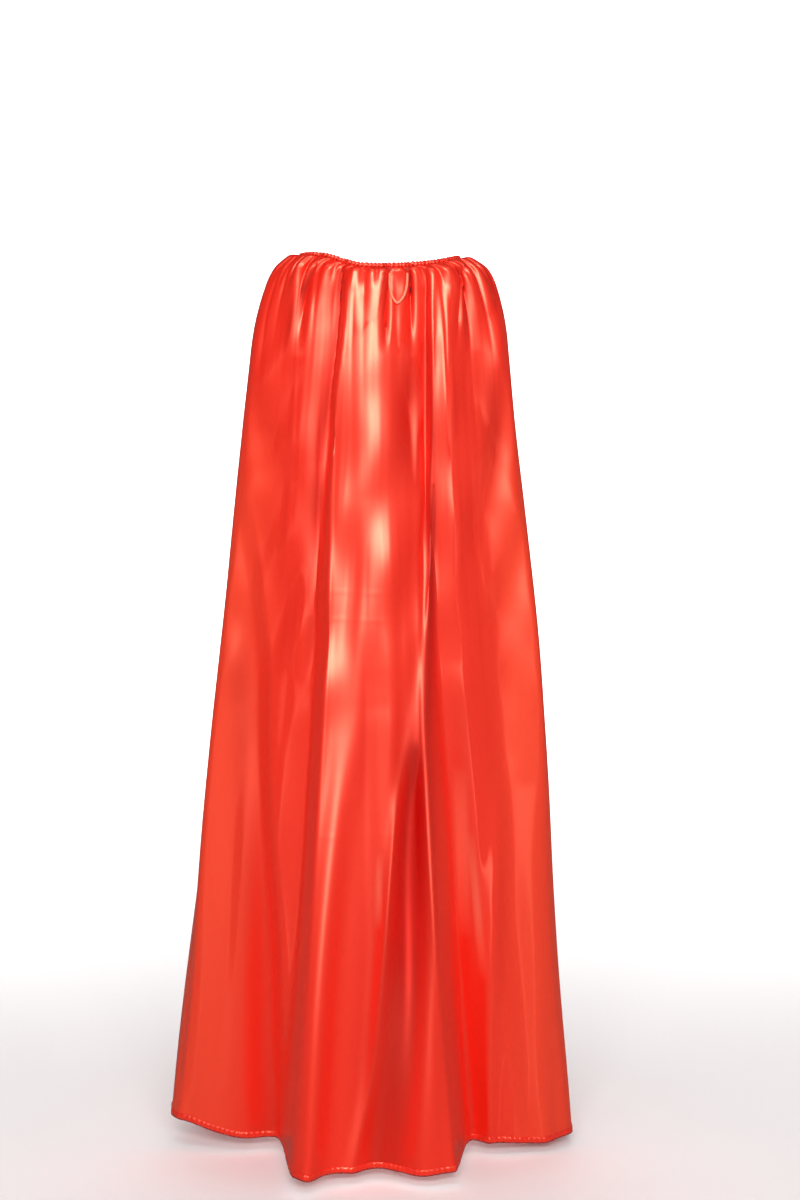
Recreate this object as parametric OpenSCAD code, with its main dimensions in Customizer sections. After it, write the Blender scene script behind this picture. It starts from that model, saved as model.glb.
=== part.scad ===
// Full-length satin costume cape, worn open at the front and tied at the neck.
// Millimetres. +Z is up, the wearer faces -Y and the wearer's left is +X.
// The origin is the centre of the neck opening, level with the top of the casing at the shoulders.
// The cloth is one surface: cape(u, d) gives its point for u across the cloth and d below the casing.
// u runs from -2 at the right front edge to 2 at the left one; u = -1 and 1 are the two side lines,
// where the open fronts swing on the back.

/* [Length and hem] */
// Drop from the neck casing to the hem
cape_length = 1350; // [1200:10:1450]
// Half width of the hem on the wearer's left
hem_left = 334; // [300:2:350]
// Half width of the hem on the wearer's right
hem_right = 304; // [290:2:350]
// How far the middle of the back stands out at the hem, beyond the sides
hem_bulge = 150; // [80:5:170]
// Height of the turned hems
hem_w = 9; // [7:1:14]

/* [Shoulders] */
// Half width over the shoulders, at the foot of the gathered head
shoulder_w = 198; // [185:1:215]
// Drop of the gathered head, from the casing to the line where the fronts begin to swing
head_drop = 112; // [100:2:130]
// Number of gathers round the neck
gathers = 30; // [20:2:40]
// Depth of the gathers under the casing
gather_depth = 2.6; // [1:0.2:3]

/* [Neck] */
// Half width of the neck opening
neck_w = 120; // [112:1:125]
// Depth of the neck opening behind its centre
neck_back = 76; // [72:1:80]
// Depth of the neck opening in front of its centre
neck_front = 88; // [84:1:92]
// Height of the drawstring casing
casing_h = 9; // [8:0.5:11]
// Drop of the neckline at the nape, below the shoulders
nape_dip = 14; // [8:1:18]
// Drop of the neckline at the throat, below the shoulders
throat_dip = 34; // [26:1:40]

/* [Cloth and cord] */
// Modelled thickness of the cloth
cloth_t = 1.2; // [0.8:0.1:1.5]
// Modelled thickness of a turned hem
hem_t = 2.4; // [1.8:0.1:3]
// Diameter of the drawstring
cord_d = 3.4; // [2.6:0.2:3.4]
// Diameter of the hang loop's piping
loop_d = 3.6; // [3:0.2:4]

/* [Hidden] */

side_phi = 105;        // direction of the side lines, in degrees from the middle of the back
front_phi = 134;       // direction of the front edges at the hem
neck_phi = 165;        // direction of the front edges at the neck
open_drop = 200;       // drop over which the front edges spread apart
swing_gap = 2.5;       // clearance between the swinging fronts and the cloth above them
axis_gap = 1.5;        // clearance between a side line and the cloth on either side of it
shoulder_back = 98;    // depth of the back at the foot of the head
shoulder_front = 122;  // depth of the front at the foot of the head
wing_back = 92;        // depth of the cloth beside the bulge at the hem
hem_front = 270;       // depth of the front half-oval at the hem
bulge_start = 200;     // drop at which the back begins to bulge
bulge_left = 150;      // where the bulge ends at the hem, to the wearer's left
bulge_right = 126;     // where it ends to the wearer's right
bulge_flank = 34;      // width of the bulge's flanks
facing_w = 9;          // width of the facings down the front edges
shoulder_round = 0.42; // how quickly the width grows over the shoulders: 1 is evenly, less is sooner
gather_fade = 45;      // drop over which the gathers fade
back_phi = 98;         // direction at which the folds of the back have faded out, in degrees
back_blend = 24;       // how many degrees they take to fade
bulge_ease = 0.25;     // share of the bulge that starts softly; the rest grows evenly
bulge_narrow = 0.55;   // width of the bulge's foot at the head, as a share of that at the hem
fold_rise = 0.7;       // how quickly the folds deepen down the back
fold_narrow = 0.6;     // width of a fold under the head, as a share of that at the hem
probe = 0.004;         // step of u that directions are measured over
width_drop = 700;      // drop at which distances across the cloth are turned into u
width_probe = 0.1;     // span of u that this is measured over
row_crowding = 1.25;   // above 1, rows of faces crowd towards the top
back_cols = 104;
back_rows = 12;
front_cols = 14;
front_rows = 10;
head_cols = 120;
casing_cols = 60;
cord_cols = 48;
HEAD_ROWS = [0, 6, 14, 26, 44, 66, 88]; // drops of the head's rows of faces, above its foot
loop_x = -28;          // middle of the hang loop, to the wearer's right
loop_legs = [12, -14]; // where its two ends are sewn, from that middle
tack_size = [5, 4, 5];
tack_behind = 5.2;     // middle of a tack behind the neck opening
tack_below = 1;        // and below the nape
label_x = 20;          // middle of the care label, to the wearer's left
label_size = [26, 0.8, 44];
label_inside = 7.2;    // middle of the label inside the back of the neck opening
tail_knot_size = [8, 8, 9];
tail_knot_low = 4;     // middle of a tail's knot below the end of the tail
satin = [0.87, 0.13, 0.09];
dark_satin = [0.62, 0.07, 0.06];
cord_red = [0.75, 0.08, 0.07];
label_white = [0.93, 0.92, 0.9];

// Each standing fold of the back: [x under the head, x at the hem, depth at the hem, half width at the hem].
FOLDS = [
    [35, 118, 42, 24],    // left edge of the bulge
    [8, 20, -20, 26],     // dip in the middle of the bulge
    [-28, -55, 24, 26],   // right ridge of the bulge
    [66, 176, -22, 22],   // valley behind the left edge of the bulge
    [-66, -152, -34, 20], // deep valley at the right of the bulge
    [-120, -250, 24, 40], // ridge of the right wing
    [120, 250, 6, 40]];   // slight ridge of the left wing

function smooth(x) = let (k = min(1, max(0, x))) k * k * (3 - 2 * k);
function mix(a, b, k) = a + (b - a) * k;
function unit(v) = v / norm(v);

// How far the shape has passed from the neck to the foot of the head, and from there to the hem.
function head_k(d) = min(1, max(0, d / head_drop));
function skirt_k(d) = max(0, (d - head_drop) / (cape_length - head_drop));

// Half width, back depth and front depth of the plan section at drop d.
function half_w(x_sign, d) = d < head_drop
    ? neck_w + (shoulder_w - neck_w) * pow(head_k(d), shoulder_round)
    : mix(shoulder_w, x_sign > 0 ? hem_left : hem_right, skirt_k(d));
function back_y(d) = d < head_drop
    ? mix(neck_back, shoulder_back, head_k(d))
    : mix(shoulder_back, wing_back, skirt_k(d));
function front_y(d) = d < head_drop
    ? mix(neck_front, shoulder_front, head_k(d))
    : mix(shoulder_front, hem_front, skirt_k(d));

// Direction of the point u across the cloth at drop d, and of the front edge.
function edge_phi(d) = front_phi + (neck_phi - front_phi) * exp(-max(0, d) / open_drop);
function phi(u, d) = abs(u) <= 1
    ? u * side_phi
    : sign(u) * mix(side_phi, edge_phi(d), abs(u) - 1);

// Standing folds fade in below the head and stay off the side lines.
function fold_sum(x, d) = let (k = skirt_k(d)) k <= 0 ? 0 : pow(k, fold_rise) * sum([
    for (f = FOLDS)
        let (at = mix(f[0], f[1], k), w = f[3] * mix(fold_narrow, 1, k))
        f[2] * exp(-pow((x - at) / w, 2))]);
function sum(v) = v * [for (i = v) 1];
function bulge(x, d) = let (
        k = (d - bulge_start) / (cape_length - bulge_start),
        grow = mix(bulge_narrow, 1, skirt_k(d)))
    mix(max(0, k), smooth(k), bulge_ease) * hem_bulge
    * smooth((bulge_left * grow - x) / bulge_flank + 0.5)
    * smooth((x + bulge_right * grow) / bulge_flank + 0.5);

// Drop of the neckline, fading out over the head.
function neckline(a) = -(abs(a) < 90 ? nape_dip : throat_dip) * pow(cos(a), 2);

// Level place of the cloth without its gathers, and the level direction that points out of it.
function plan_base(u, d) = let (a = phi(u, d), x = half_w(sign(u), d) * sin(a))
    [x, (abs(a) < 90 ? back_y(d) : front_y(d)) * cos(a)
        + smooth((back_phi - abs(a)) / back_blend) * (bulge(x, d) + fold_sum(x, d)), 0];
function plan_normal(u, d) = let (t = plan_base(u + probe, d) - plan_base(u - probe, d))
    unit([-t[1], t[0], 0]);

// How far the gathers stand out, and the finished surface.
function ruche(u, d) = gather_depth * exp(-max(0, d) / gather_fade) * cos(u * gathers * 90) * (1 - head_k(d));
function cape(u, d) = plan_base(u, d) + [0, 0, neckline(phi(u, d)) * (1 - head_k(d)) - d]
    + ruche(u, d) * plan_normal(u, d);

function steps(a, b, n) = [for (i = [0 : n]) mix(a, b, i / n)];
// Drops that are closer together towards the top.
function drops(a, b, n) = [for (i = [0 : n]) mix(a, b, pow(i / n, row_crowding))];

// The u that lies a given distance along the cloth from a side line or a front edge.
function u_off(u, dist) = u + dist * width_probe
    / norm(plan_base(u + width_probe / 2, width_drop) - plan_base(u - width_probe / 2, width_drop));

// A closed sheet over the grid of us and ds.
module sheet(us, ds, t) {
    n = len(ds);
    m = len(us);
    points = [
        for (side = [-0.5, 0.5]) for (u = us) for (d = ds)
            cape(u, d) + side * t * plan_normal(u, d)];
    half = m * n;
    faces = [
        for (i = [0 : m - 2]) for (j = [0 : n - 2])
            let (a = i * n + j, b = a + n)
            each [[a, a + 1, b + 1], [a, b + 1, b],
                  [half + a, half + b + 1, half + a + 1], [half + a, half + b, half + b + 1]],
        for (i = [0 : m - 2])
            let (a = i * n, b = a + n, e = a + n - 1, f = b + n - 1)
            each [[a, b, half + b], [a, half + b, half + a],
                  [e, half + f, f], [e, half + e, half + f]],
        for (j = [0 : n - 2])
            let (a = j, b = (m - 1) * n + j)
            each [[a, half + a + 1, a + 1], [a, half + a, half + a + 1],
                  [b, b + 1, half + b + 1], [b, half + b + 1, half + b]]];
    polyhedron(points, faces, convexity = 10);
}

// The ring that the casing follows, at a height above its foot.
function ring(u, h) = plan_base(u, 0) + [0, 0, neckline(phi(u, 0)) + h];

// A hollow channel. Both loops of its section are [out, up] lists, drawn for a casing section_h high.
section_h = 9;
CASING_OUT = [[-1.5, 0], [1.5, 0], [3, 2], [3, 7], [1.5, 9], [-1.5, 9], [-3, 7], [-3, 2]];
CASING_IN = [[-0.8, 1.2], [0.8, 1.2], [1.9, 2.7], [1.9, 6.3], [0.8, 7.8], [-0.8, 7.8], [-1.9, 6.3],
    [-1.9, 2.7]];
module channel(us, outer, inner) {
    n = len(outer);
    m = len(us);
    points = [for (loop = [outer, inner]) for (u = us) for (p = loop)
        ring(u, p[1] * casing_h / section_h) + p[0] * plan_normal(u, 0)];
    half = m * n;
    faces = [
        for (i = [0 : m - 2]) for (k = [0 : n - 1])
            let (a = i * n + k, b = i * n + (k + 1) % n, c = a + n, e = b + n)
            each [[a, b, e], [a, e, c], [half + a, half + e, half + b], [half + a, half + c, half + e]],
        for (k = [0 : n - 1])
            let (a = k, b = (k + 1) % n, q = half)
            each [[a, q + b, b], [a, q + a, q + b]],
        for (k = [0 : n - 1])
            let (a = (m - 1) * n + k, b = (m - 1) * n + (k + 1) % n, q = half)
            each [[a, b, q + b], [a, q + b, q + a]]];
    polyhedron(points, faces, convexity = 10);
}

// A smooth curve through points chosen by hand, with n steps between neighbours.
function curve(p, n) = [
    for (i = [0 : len(p) - 2]) for (k = [0 : n - 1])
        let (a = p[max(0, i - 1)], b = p[i], c = p[i + 1], e = p[min(len(p) - 1, i + 2)], t = k / n)
        0.5 * ((2 * b) + (c - a) * t + (2 * a - 5 * b + 4 * c - e) * t * t
            + (3 * b - a - 3 * c + e) * t * t * t),
    p[len(p) - 1]];
function heading(p, i) = unit(p[min(len(p) - 1, i + 1)] - p[max(0, i - 1)]);

// A round cord along a path. "up" is a direction that the path never runs along.
module cord(path, d, up, sides = 8) {
    m = len(path);
    points = [for (i = [0 : m - 1])
        let (t = heading(path, i), a = unit(cross(t, up)), b = cross(a, t))
        for (k = [0 : sides - 1])
            path[i] + d / 2 * (cos(360 * k / sides) * a + sin(360 * k / sides) * b)];
    faces = [
        for (i = [0 : m - 2]) for (k = [0 : sides - 1])
            let (a = i * sides + k, b = i * sides + (k + 1) % sides)
            each [[a, b + sides, b], [a, a + sides, b + sides]],
        [for (k = [0 : sides - 1]) k],
        [for (k = [sides - 1 : -1 : 0]) (m - 1) * sides + k]];
    polyhedron(points, faces, convexity = 10);
}

// The throat: the two ends of the casing, and the knot between them.
knot_at = [0, -96, -50];
knot_size = [15, 11, 12];
cord_up = [0, 0, 1];
NECK_ROUTE = [for (u = steps(-2, 2, cord_cols)) ring(u, casing_h / 2)];
function lead(s) = [
    [s * knot_size[0] / 2, -95, -48],
    [s * 17, -93, -44],
    [s * 26, -88, -38.5]];

// The hang loop: a U of piping at the nape, a little to the wearer's right of the middle.
loop_top = [loop_x, neck_back + 8.5, -nape_dip - 7];
LOOP_ROUTE = [
    [loop_legs[0], 0, 0], [12.5, 1.5, -12], [11.5, 3, -24], [8, 4.5, -36], [1, 5.5, -44],
    [-6, 4.8, -38], [-11, 3.5, -28], [-13.5, 2, -14], [loop_legs[1], 0, 0]];

// The bow's loops and tails, mirrored for the two sides.
function bow_loop(s) = [
    [s * 7.5, -98, -49], [s * 20, -102, -42], [s * 36, -104, -41], [s * 48, -104, -50],
    [s * 46, -103, -60], [s * 34, -102, -61], [s * 20, -101, -56], [s * 7.5, -99, -52.5]];
function tail(s) = [
    [s * 3.5, -99, -56], [s * 7, -103, -70], [s * 13, -107, -95], [s * 18, -110, -130],
    [s * 21, -112, -170], [s * 20, -113, -210], [s * 22, -114, -236 - s * 6]];
function tail_end(s) = tail(s)[6];

module gathered_head() {
    color(satin) sheet(steps(-2, 2, head_cols), concat(HEAD_ROWS, [head_drop]), cloth_t);
}
module back_panel() {
    u_side = u_off(1, -axis_gap);
    color(satin) sheet(steps(-u_side, u_side, back_cols), drops(head_drop, cape_length - hem_w, back_rows), cloth_t);
}
module front_panel(s) {
    us = steps(u_off(1, axis_gap), u_off(2, -facing_w), front_cols);
    color(satin) sheet(sided(us, s), drops(head_drop + swing_gap, cape_length - hem_w, front_rows), cloth_t);
}
// The list for the chosen side, always in rising order.
function sided(us, s) = s > 0 ? us : [for (i = [len(us) - 1 : -1 : 0]) -us[i]];

module left_front_panel() front_panel(1);
module right_front_panel() front_panel(-1);
module left_edge_facing() edge_facing(1);
module right_edge_facing() edge_facing(-1);
module edge_facing(s) {
    color(satin) sheet(sided([u_off(2, -facing_w), 2], s),
        drops(head_drop + swing_gap, cape_length - hem_w, front_rows), hem_t);
}
module back_hem() {
    u_side = u_off(1, -axis_gap);
    color(dark_satin) sheet(steps(-u_side, u_side, back_cols), [cape_length - hem_w, cape_length], hem_t);
}
module front_hem(s) {
    us = concat(steps(u_off(1, axis_gap), u_off(2, -facing_w), front_cols), [2]);
    color(dark_satin) sheet(sided(us, s), [cape_length - hem_w, cape_length], hem_t);
}
module left_front_hem() front_hem(1);
module right_front_hem() front_hem(-1);
module neck_casing() {
    color(satin) channel(steps(-2, 2, casing_cols), CASING_OUT, CASING_IN);
}
module neck_cord() {
    ends = [lead(-1), [for (i = [2 : -1 : 0]) lead(1)[i]]];
    color(cord_red) cord(concat(ends[0], NECK_ROUTE, ends[1]), cord_d, cord_up);
}
module bow_knot() {
    color(cord_red) translate(knot_at) resize(knot_size) sphere(10, $fn = 20);
}
module bow_loop_left() {
    color(cord_red) cord(curve(bow_loop(1), 2), cord_d, [0, 1, 0]);
}
module bow_loop_right() {
    color(cord_red) cord(curve(bow_loop(-1), 2), cord_d, [0, 1, 0]);
}
module tie_tail(s) {
    color(cord_red) cord(curve(tail(s), 3), cord_d, [0, 1, 0]);
}
module tie_tail_left() tie_tail(1);
module tie_tail_right() tie_tail(-1);
module tail_knot(s) {
    color(cord_red) translate(tail_end(s) - [0, 0, tail_knot_low]) resize(tail_knot_size) sphere(10, $fn = 16);
}
module tail_knot_left() tail_knot(1);
module tail_knot_right() tail_knot(-1);
module hang_loop() {
    color(satin) translate(loop_top) cord(curve(LOOP_ROUTE, 3), loop_d, [0, 1, 0]);
}
module loop_tacks() {
    color(dark_satin) for (x = loop_legs) translate([loop_x + x, neck_back + tack_behind, -nape_dip - tack_below])
        cube(tack_size, center = true);
}
module care_label() {
    color(label_white) translate([label_x, neck_back - label_inside, -nape_dip - label_size[2] / 2])
        cube(label_size, center = true);
}

gathered_head();
back_panel();
left_front_panel();
right_front_panel();
neck_casing();
neck_cord();
back_hem();
left_front_hem();
right_front_hem();
left_edge_facing();
right_edge_facing();
hang_loop();
loop_tacks();
care_label();
bow_knot();
bow_loop_left();
bow_loop_right();
tie_tail_left();
tie_tail_right();
tail_knot_left();
tail_knot_right();
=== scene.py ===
"""Satin costume cape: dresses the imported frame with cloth, hems, casing, cord, loop and label."""

import math
import random

import bpy
import numpy as np
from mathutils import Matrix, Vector


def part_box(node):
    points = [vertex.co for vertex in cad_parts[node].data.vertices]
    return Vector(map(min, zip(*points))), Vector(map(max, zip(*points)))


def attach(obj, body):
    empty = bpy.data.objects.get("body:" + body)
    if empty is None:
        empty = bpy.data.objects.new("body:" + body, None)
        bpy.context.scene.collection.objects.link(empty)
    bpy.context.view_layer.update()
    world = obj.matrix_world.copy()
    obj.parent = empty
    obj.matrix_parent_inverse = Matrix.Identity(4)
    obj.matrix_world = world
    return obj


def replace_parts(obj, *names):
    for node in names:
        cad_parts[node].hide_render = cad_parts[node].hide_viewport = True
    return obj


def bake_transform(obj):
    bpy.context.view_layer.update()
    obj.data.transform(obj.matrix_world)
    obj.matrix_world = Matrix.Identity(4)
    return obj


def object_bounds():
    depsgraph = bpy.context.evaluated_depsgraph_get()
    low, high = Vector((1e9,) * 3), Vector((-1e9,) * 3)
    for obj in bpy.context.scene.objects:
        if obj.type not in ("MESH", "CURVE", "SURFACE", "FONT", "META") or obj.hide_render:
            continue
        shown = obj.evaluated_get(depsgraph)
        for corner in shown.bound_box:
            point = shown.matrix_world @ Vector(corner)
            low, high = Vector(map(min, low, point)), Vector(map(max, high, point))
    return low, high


bl_info = {
    "name": "Satin costume cape",
    "version": (1, 0, 0),
    "blender": (4, 5, 0),
    "location": "View3D > Sidebar > Cape",
    "description": "Builds a gathered satin cape round its packed frame",
    "category": "Object",
}

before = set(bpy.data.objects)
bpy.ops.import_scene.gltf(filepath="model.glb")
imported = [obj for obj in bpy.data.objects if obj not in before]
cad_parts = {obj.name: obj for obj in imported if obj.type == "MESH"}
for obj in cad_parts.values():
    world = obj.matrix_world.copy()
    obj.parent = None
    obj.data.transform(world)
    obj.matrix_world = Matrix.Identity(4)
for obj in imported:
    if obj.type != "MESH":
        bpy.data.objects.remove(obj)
CAD_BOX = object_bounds()

# Bodies, named once.
BACK, LEFT, RIGHT, LOOP = "back", "left_front", "right_front", "hang_loop"

# Where the cloth stops being the fixed head and starts to swing.
HEAD_FOOT = -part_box("gathered_head")[0].z
HEM_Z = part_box("back_hem")[0].z
LENGTH = -HEM_Z


# --- sizes and colours a user would change ---------------------------------------------------


def sized(name, description, default):
    """A length that a user can change."""
    return bpy.props.FloatProperty(name=name, description=description, default=default, unit="LENGTH")


def counted(name, description, default):
    """A number of faces or folds that a user can change."""
    return bpy.props.IntProperty(name=name, description=description, default=default)


def coloured(name, description, default):
    """A colour that a user can change."""
    return bpy.props.FloatVectorProperty(name=name, description=description, subtype="COLOR", default=default)


class CapeCloth(bpy.types.PropertyGroup):
    """Sizes of the cloth and its trim."""

    hem_left: sized("Left hem", "Half width of the hem on the wearer's left", 0.334)
    hem_right: sized("Right hem", "Half width of the hem on the wearer's right", 0.304)
    hem_bulge: sized("Hem bulge", "How far the middle of the hem stands out behind", 0.150)
    hem_height: sized("Hem height", "Height of the turned hem", 0.009)
    shoulder: sized("Shoulder", "Half width at the foot of the gathered head", 0.198)
    neck_half: sized("Neck half width", "Half width of the neck opening", 0.120)
    neck_back: sized("Neck back", "Depth of the neck opening behind its centre", 0.076)
    neck_front: sized("Neck front", "Depth of the neck opening before its centre", 0.088)
    nape_dip: sized("Nape dip", "Drop of the neckline at the nape", 0.014)
    throat_dip: sized("Throat dip", "Drop of the neckline at the throat", 0.034)
    gather_depth: sized("Gather depth", "Height of the gathers under the casing", 0.0050)
    gather_count: counted("Gathers", "Gathers round the neck", 44)
    columns: counted("Columns", "Cloth faces across the back", 256)
    front_columns: counted("Front columns", "Cloth faces across a front", 48)
    rows: counted("Rows", "Cloth faces down the cape", 196)
    thickness: sized("Thickness", "Thickness of the satin", 0.0005)
    cord: sized("Cord", "Diameter of the drawstring", 0.0034)
    piping: sized("Loop piping", "Diameter of the hang loop's piping", 0.0036)


class CapeColours(bpy.types.PropertyGroup):
    """Colours of the cape."""

    satin: coloured("Satin", "Face of the satin", (0.93, 0.014, 0.005))
    deep: coloured("Deep satin", "Satin in the cores of the folds", (0.66, 0.004, 0.006))
    wrong_side: coloured("Wrong side", "Dull back of the satin", (0.62, 0.035, 0.022))
    edge: coloured("Edge thread", "Thread along the hem's edge", (0.30, 0.012, 0.010))
    cord: coloured("Cord", "Drawstring", (0.66, 0.025, 0.016))
    label: coloured("Label", "Woven label", (0.84, 0.82, 0.79))


class CapeStage(bpy.types.PropertyGroup):
    """Camera, lamps and floor."""

    distance: sized("Distance", "Camera to the wearer's plane", 4.0)
    height: sized("Height", "Camera above the hem", 1.20)
    lens: bpy.props.FloatProperty(name="Lens", description="Focal length in mm", default=77.9)
    floor: sized("Floor", "Side of the floor", 30.0)


# --- small helpers ---------------------------------------------------------------------------


def lerp(a, b, k):
    return a + (b - a) * k


def ease(x):
    k = np.clip(x, 0.0, 1.0)
    return k * k * (3.0 - 2.0 * k)


def along(stops, at):
    """Smooth value at a drop, from [(drop, value), ...]."""
    xs = np.array([s[0] for s in stops], float)
    ys = np.array([s[1] for s in stops], float)
    at = np.clip(at, xs[0], xs[-1])
    i = np.clip(np.searchsorted(xs, at, side="right") - 1, 0, len(xs) - 2)
    slope = np.gradient(ys, xs)
    h = xs[i + 1] - xs[i]
    t = (at - xs[i]) / h
    t2, t3 = t * t, t * t * t
    return (
        (2 * t3 - 3 * t2 + 1) * ys[i]
        + (t3 - 2 * t2 + t) * h * slope[i]
        + (3 * t2 - 2 * t3) * ys[i + 1]
        + (t3 - t2) * h * slope[i + 1]
    )


def new_object(name, verts, faces, material=None):
    mesh = bpy.data.meshes.new(name)
    mesh.from_pydata([tuple(v) for v in verts], [], faces)
    mesh.update()
    mesh.polygons.foreach_set("use_smooth", [True] * len(mesh.polygons))
    obj = bpy.data.objects.new(name, mesh)
    bpy.context.scene.collection.objects.link(obj)
    if material is not None:
        mesh.materials.append(material)
    return obj


# --- shader maths as expressions -------------------------------------------------------------


class Val:
    """A shader socket that takes part in Python arithmetic."""

    def __init__(self, shader, socket):
        self.shader, self.socket = shader, socket

    def _math(self, op, a, b=None):
        values = {0: a} if b is None else {0: a, 1: b}
        return self.shader.node("ShaderNodeMath", {"operation": op}, values).out("Value")

    def __add__(self, other):
        return self._math("ADD", self, other)

    def __radd__(self, other):
        return self._math("ADD", other, self)

    def __sub__(self, other):
        return self._math("SUBTRACT", self, other)

    def __rsub__(self, other):
        return self._math("SUBTRACT", other, self)

    def __mul__(self, other):
        return self._math("MULTIPLY", self, other)

    def __rmul__(self, other):
        return self._math("MULTIPLY", other, self)

    def clamped(self):
        return self.shader.node("ShaderNodeClamp", {}, {"Value": self}).out("Result")

    def sine(self):
        return self._math("SINE", self)


class Node:
    """A node whose outputs come back as Val."""

    def __init__(self, shader, node):
        self.shader, self.raw = shader, node

    def out(self, name):
        return Val(self.shader, self.raw.outputs[name])


class Shader:
    """One material's node tree."""

    def __init__(self, name):
        self.material = bpy.data.materials.new(name)
        self.material.use_nodes = True
        self.tree = self.material.node_tree
        self.tree.nodes.clear()

    def node(self, kind, settings=None, values=None):
        n = self.tree.nodes.new(kind)
        for key, value in (settings or {}).items():
            setattr(n, key, value)
        for key, value in (values or {}).items():
            if isinstance(value, Val):
                self.tree.links.new(value.socket, n.inputs[key])
            else:
                n.inputs[key].default_value = value
        return Node(self, n)

    def mix(self, a, b, k):
        """Colour a to colour b by k; each colour is an RGB triple or a Val."""
        n = self.node("ShaderNodeMix", {"data_type": "RGBA"})
        for index, value in ((0, k), (6, a), (7, b)):
            if isinstance(value, Val):
                self.tree.links.new(value.socket, n.raw.inputs[index])
            elif isinstance(value, (int, float)):
                n.raw.inputs[index].default_value = value
            else:
                n.raw.inputs[index].default_value = (*value, 1.0)
        return n.out(2)

    def noise(self, vector, scale, detail=3.0, rough=0.5):
        return self.node(
            "ShaderNodeTexNoise", {}, {"Vector": vector, "Scale": scale, "Detail": detail, "Roughness": rough}
        ).out("Fac")

    def coords(self):
        return self.node("ShaderNodeTexCoord").out("Object")

    def stretched(self, vector, scale):
        values = {0: vector, 1: scale}
        return self.node("ShaderNodeVectorMath", {"operation": "MULTIPLY"}, values).out("Vector")

    def xyz(self, vector):
        n = self.node("ShaderNodeSeparateXYZ", {}, {0: vector})
        return n.out("X"), n.out("Y"), n.out("Z")

    def attribute(self, name):
        return self.node("ShaderNodeAttribute", {"attribute_name": name}).out("Fac")

    def bump(self, height, strength, distance):
        values = {"Height": height, "Strength": strength, "Distance": distance}
        return self.node("ShaderNodeBump", {}, values).out("Normal")

    def finish(self, values):
        surface = self.node("ShaderNodeBsdfPrincipled", {}, values).out("BSDF")
        self.node("ShaderNodeOutputMaterial", {}, {"Surface": surface})
        return self.material


# --- materials -------------------------------------------------------------------------------


def satin_material():
    """Warp-faced satin: long floats shine broadly across the folds."""
    c = bpy.context.scene.cape_colours
    s = Shader("red_satin")
    place = s.coords()
    drift = s.noise(place, 2.2, 2.0)
    slub = s.noise(s.stretched(place, (9.0, 9.0, 900.0)), 1.0, 2.0, 0.6)
    warp = s.noise(s.stretched(place, (1400.0, 1400.0, 14.0)), 1.0, 2.0, 0.5)
    base = s.mix(tuple(c.satin), tuple(c.deep), (drift - 0.42) * 1.6 * 0.35)
    # Painted backlight: towards the sides, where one layer hangs against the light, the satin is painted a
    # lighter orange.
    base = s.mix(base, (0.95, 0.052, 0.018), s.attribute("painted_backlight") * 0.6)
    # Painted shade: where folds and gathers close, the satin is painted dark red and made rougher and less
    # reflective.
    core = s.attribute("painted_fold_shade")
    base = s.mix(base, (0.62, 0.001, 0.004), core * 0.85)
    # Painted light: lens-shaped see-through patches are painted a pale orange.
    base = s.mix(base, (0.98, 0.15, 0.09), s.attribute("painted_light_patch") * 0.55)
    rough = 0.36 + (warp - 0.5) * 0.05 + (drift - 0.5) * 0.06 + core * 0.12
    crease = s.attribute("packing_crease")
    normal = s.bump(slub * 0.35 + warp * 0.25 + crease * 0.8, 0.18, 0.0004)
    return s.finish(
        {
            "Base Color": base,
            "Roughness": rough,
            "Normal": normal,
            "IOR": 1.73,
            "Specular IOR Level": 1.0,
            "Specular Tint": (1.0, 0.72, 0.46, 1.0),
            "Anisotropic": 0.6,
            "Sheen Weight": 0.05,
            "Sheen Roughness": 0.4,
            "Sheen Tint": (1.0, 0.45, 0.32, 1.0),
            "Metallic": 0.16 + core * 0.55,
        }
    )


def wrong_side_material():
    """The dull back of the satin, where the weft shows."""
    c = bpy.context.scene.cape_colours
    s = Shader("satin_wrong_side")
    place = s.coords()
    weft = s.noise(s.stretched(place, (60.0, 60.0, 1100.0)), 1.0, 2.0, 0.6)
    drift = s.noise(place, 3.0, 2.0)
    base = s.mix(tuple(c.wrong_side), tuple(c.deep), (drift - 0.35) * 0.8)
    return s.finish(
        {
            "Base Color": base,
            "Roughness": 0.62 + (weft - 0.5) * 0.15,
            "Normal": s.bump(weft, 0.25, 0.0003),
            "Sheen Weight": 0.3,
            "Sheen Tint": (1.0, 0.4, 0.3, 1.0),
        }
    )


def thread_material(name, colour, twist):
    """Twisted thread: fine slanting plies."""
    s = Shader(name)
    x, y, z = s.xyz(s.coords())
    ply = ((x + y) * twist + z * twist * 1.4).sine() * 0.5 + 0.5
    drift = s.noise(s.coords(), 60.0, 3.0)
    base = s.mix(tuple(v * 0.72 for v in colour), tuple(colour), (ply * 0.6 + drift * 0.4).clamped())
    return s.finish(
        {
            "Base Color": base,
            "Roughness": 0.5 + drift * 0.15,
            "Normal": s.bump(ply, 0.5, 0.0003),
            "Sheen Weight": 0.25,
            "Sheen Tint": (1.0, 0.5, 0.4, 1.0),
        }
    )


def label_material():
    """Blank woven tape."""
    c = bpy.context.scene.cape_colours
    s = Shader("label_tape")
    x, y, z = s.xyz(s.coords())
    weave = (x * 5200.0).sine() * (z * 5200.0).sine() * 0.5 + 0.5
    drift = s.noise(s.coords(), 30.0, 3.0)
    base = s.mix(tuple(c.label), tuple(v * 0.9 for v in c.label), (weave * 0.5 + drift * 0.5).clamped())
    normal = s.bump(weave, 0.4, 0.0002)
    return s.finish({"Base Color": base, "Roughness": 0.7 + drift * 0.1, "Normal": normal})


MAKERS = {"red_satin": satin_material, "satin_wrong_side": wrong_side_material, "label_tape": label_material}
# The hang loop's peach is a painted highlight on red satin piping.
SEAM_RED, LOOP_PAINTED_HIGHLIGHT = (0.60, 0.025, 0.018), (1.0, 0.27, 0.15)


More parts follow.
